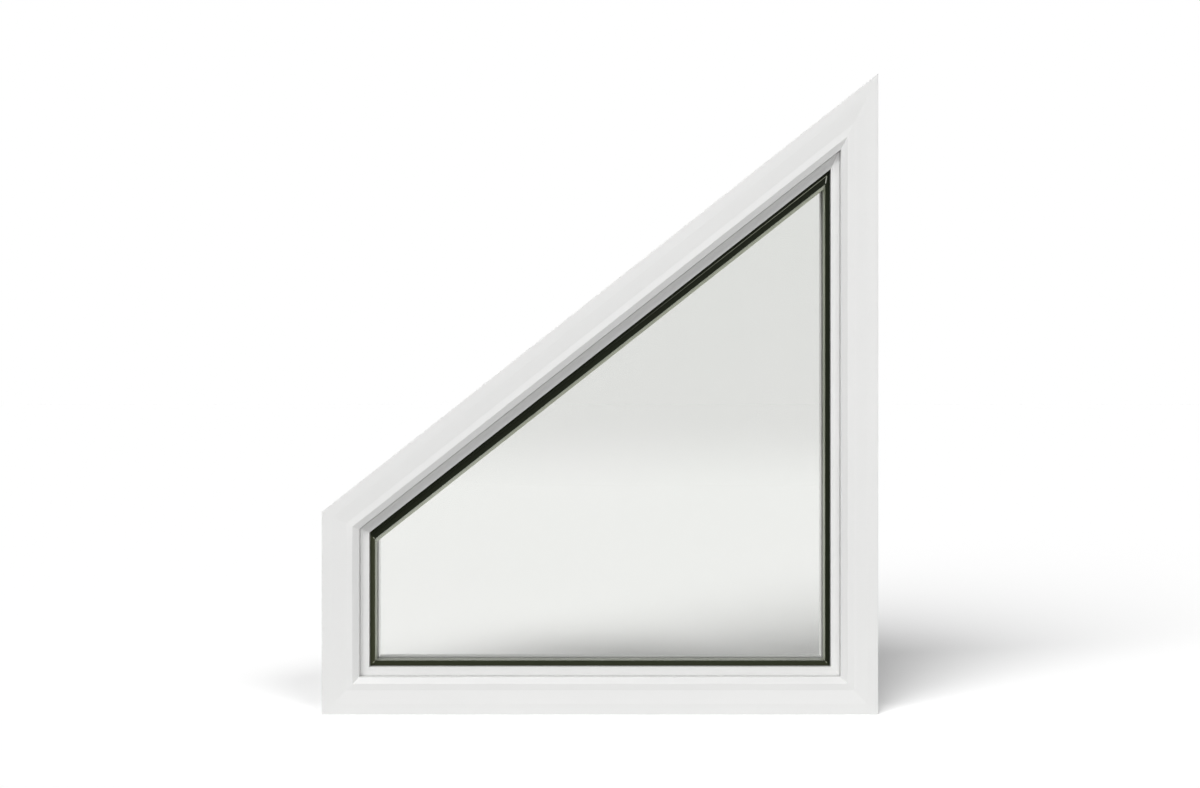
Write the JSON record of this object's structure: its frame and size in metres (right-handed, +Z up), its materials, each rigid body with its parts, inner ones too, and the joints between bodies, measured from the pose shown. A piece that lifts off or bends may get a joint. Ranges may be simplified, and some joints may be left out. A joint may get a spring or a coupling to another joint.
{
  "type": "fixed trapezoid window",
  "caption": "Fixed white vinyl window in the shape of a right trapezoid, with a sloping head, snap-in glazing beads and a sealed double-glazed unit.",
  "frame": {"origin": "under the middle of the sill, half way through the frame's depth", "axes": "+X along the sill towards the tall jamb, +Y from the weather side to the room, +Z up"},
  "size_m": [0.762, 0.0826, 0.878],
  "materials": {
    "vinyl": "satin",
    "gasket_rubber": "matte",
    "spacer_bar": "satin",
    "edge_sealant": "matte",
    "foam_tape": "matte",
    "float_glass": "polished",
    "block_rubber": "matte"
  },
  "bodies": {
    "root": {"sill_frame": "vinyl", "tall_jamb_frame": "vinyl", "head_frame": "vinyl", "short_jamb_frame": "vinyl", "sill_bead": "vinyl", "tall_jamb_bead": "vinyl", "head_bead": "vinyl", "short_jamb_bead": "vinyl", "sill_gasket": "gasket_rubber", "tall_jamb_gasket": "gasket_rubber", "head_gasket": "gasket_rubber", "short_jamb_gasket": "gasket_rubber", "sill_spacer": "spacer_bar", "tall_jamb_spacer": "spacer_bar", "head_spacer": "spacer_bar", "short_jamb_spacer": "spacer_bar", "sill_edge_seal": "edge_sealant", "tall_jamb_edge_seal": "edge_sealant", "head_edge_seal": "edge_sealant", "short_jamb_edge_seal": "edge_sealant", "sill_tape": "foam_tape", "tall_jamb_tape": "foam_tape", "head_tape": "foam_tape", "short_jamb_tape": "foam_tape", "outer_pane": "float_glass", "inner_pane": "float_glass", "left_setting_block": "block_rubber", "right_setting_block": "block_rubber"}
  },
  "joints": []
}
